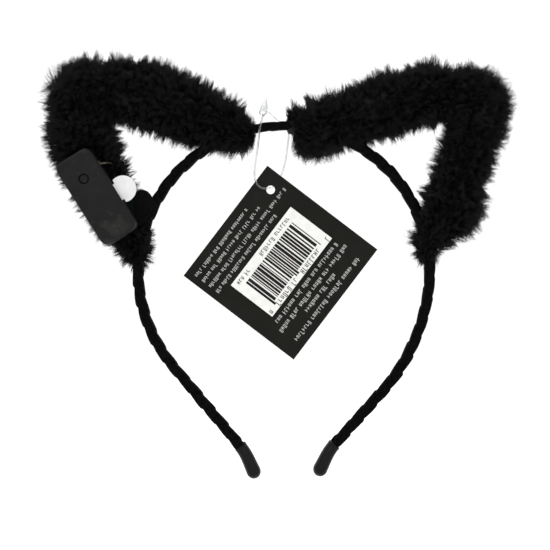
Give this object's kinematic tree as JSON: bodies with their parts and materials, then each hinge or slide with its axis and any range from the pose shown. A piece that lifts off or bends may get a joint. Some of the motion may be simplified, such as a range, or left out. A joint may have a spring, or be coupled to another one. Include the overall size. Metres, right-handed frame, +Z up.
{
  "type": "light-up animal ears headband",
  "caption": "Ribbon-wrapped hoop headband with two faux-fur covered animal ears lit by a wire light string, a rear push-button battery box and a hanging card tag.",
  "frame": {"origin": "the band's inner face at the crown, where the band rests on the head", "axes": "+Z up through the crown with the ears above, +X to the right as seen from the back of the head, +Y the way the wearer looks, so the battery box faces -Y"},
  "size_m": [0.1883, 0.0315, 0.1715],
  "materials": {
    "spring_steel": "drawn",
    "velvet_ribbon": "black velvet ribbon, wound with overlaps",
    "black_vinyl": "satin",
    "cloth_tape": "matte",
    "faux_fur": "short dense black pile",
    "enamelled_wire": "enamelled copper pair with clear drops over the lights",
    "case_plastic": "fine matte, scuffed",
    "switch_plastic": "moulded",
    "circuit_board": "solder mask",
    "cell_steel": "nickel plated",
    "plated_contact": "nickel plated",
    "hot_melt": "clear hot-melt glue",
    "white_film": "smooth white film",
    "foam": "double-sided foam",
    "felt": "felt",
    "glossy_tape": "dark, glossy",
    "black_card": "satin laminate",
    "label_paper": null,
    "clear_plastic": "clear moulded filament"
  },
  "bodies": {
    "headband": {"band_core": "spring_steel", "ribbon_wrap": "velvet_ribbon", "tip_cap_left": "black_vinyl", "tip_cap_right": "black_vinyl", "ear_wire_left": "spring_steel", "ear_wire_right": "spring_steel", "wire_binding_left_inner": "cloth_tape", "wire_binding_left_outer": "cloth_tape", "wire_binding_right_inner": "cloth_tape", "wire_binding_right_outer": "cloth_tape", "ear_fur_left": "faux_fur", "ear_fur_right": "faux_fur", "led_string": "enamelled_wire", "box_base": "case_plastic", "box_cover": "case_plastic", "tact_switch": "switch_plastic", "switch_board": "circuit_board", "cell_lower": "cell_steel", "cell_upper": "cell_steel", "contact_negative": "plated_contact", "contact_positive": "plated_contact", "cell_bridge": "plated_contact", "lead_seal": "hot_melt", "foam_pad": "foam", "felt_patch": "felt", "holding_tape": "glossy_tape"},
    "button": {"power_button": "case_plastic"},
    "plunger": {"switch_plunger": "switch_plastic"},
    "pull_tab": {"insulation_tab": "white_film"},
    "loop": {"tag_loop": "clear_plastic", "tag_lock": "clear_plastic"},
    "tag": {"hang_tag": "black_card", "tag_label": "label_paper"}
  },
  "joints": [
    {"name": "button_press", "type": "slide", "parent": "headband", "child": "button", "axis": [0, 1, 0], "range_m": [0, 0.0005], "stiffness_N_per_m": 400, "springref_m": -0.0015},
    {"name": "plunger_press", "type": "slide", "parent": "headband", "child": "plunger", "axis": [0, 1, 0], "range_m": [0, 0.0005]},
    {"name": "tab_pull", "type": "slide", "parent": "headband", "child": "pull_tab", "axis": [0.8443, 0, 0.5358], "range_m": [0, 0.016]},
    {"name": "loop_swing", "type": "hinge", "parent": "headband", "child": "loop", "pos_m": [0, 0, 0.0025], "axis": [1, 0, 0], "range_deg": [-90, 90]},
    {"name": "tag_turn", "type": "hinge", "parent": "loop", "child": "tag", "pos_m": [-0.0055, 0, -0.02295], "axis": [0, 1, 0], "range_deg": [-20, 20]}
  ],
  "couplings": [
    {"joint": "plunger_press", "follows": "button_press", "ratio": 1}
  ]
}
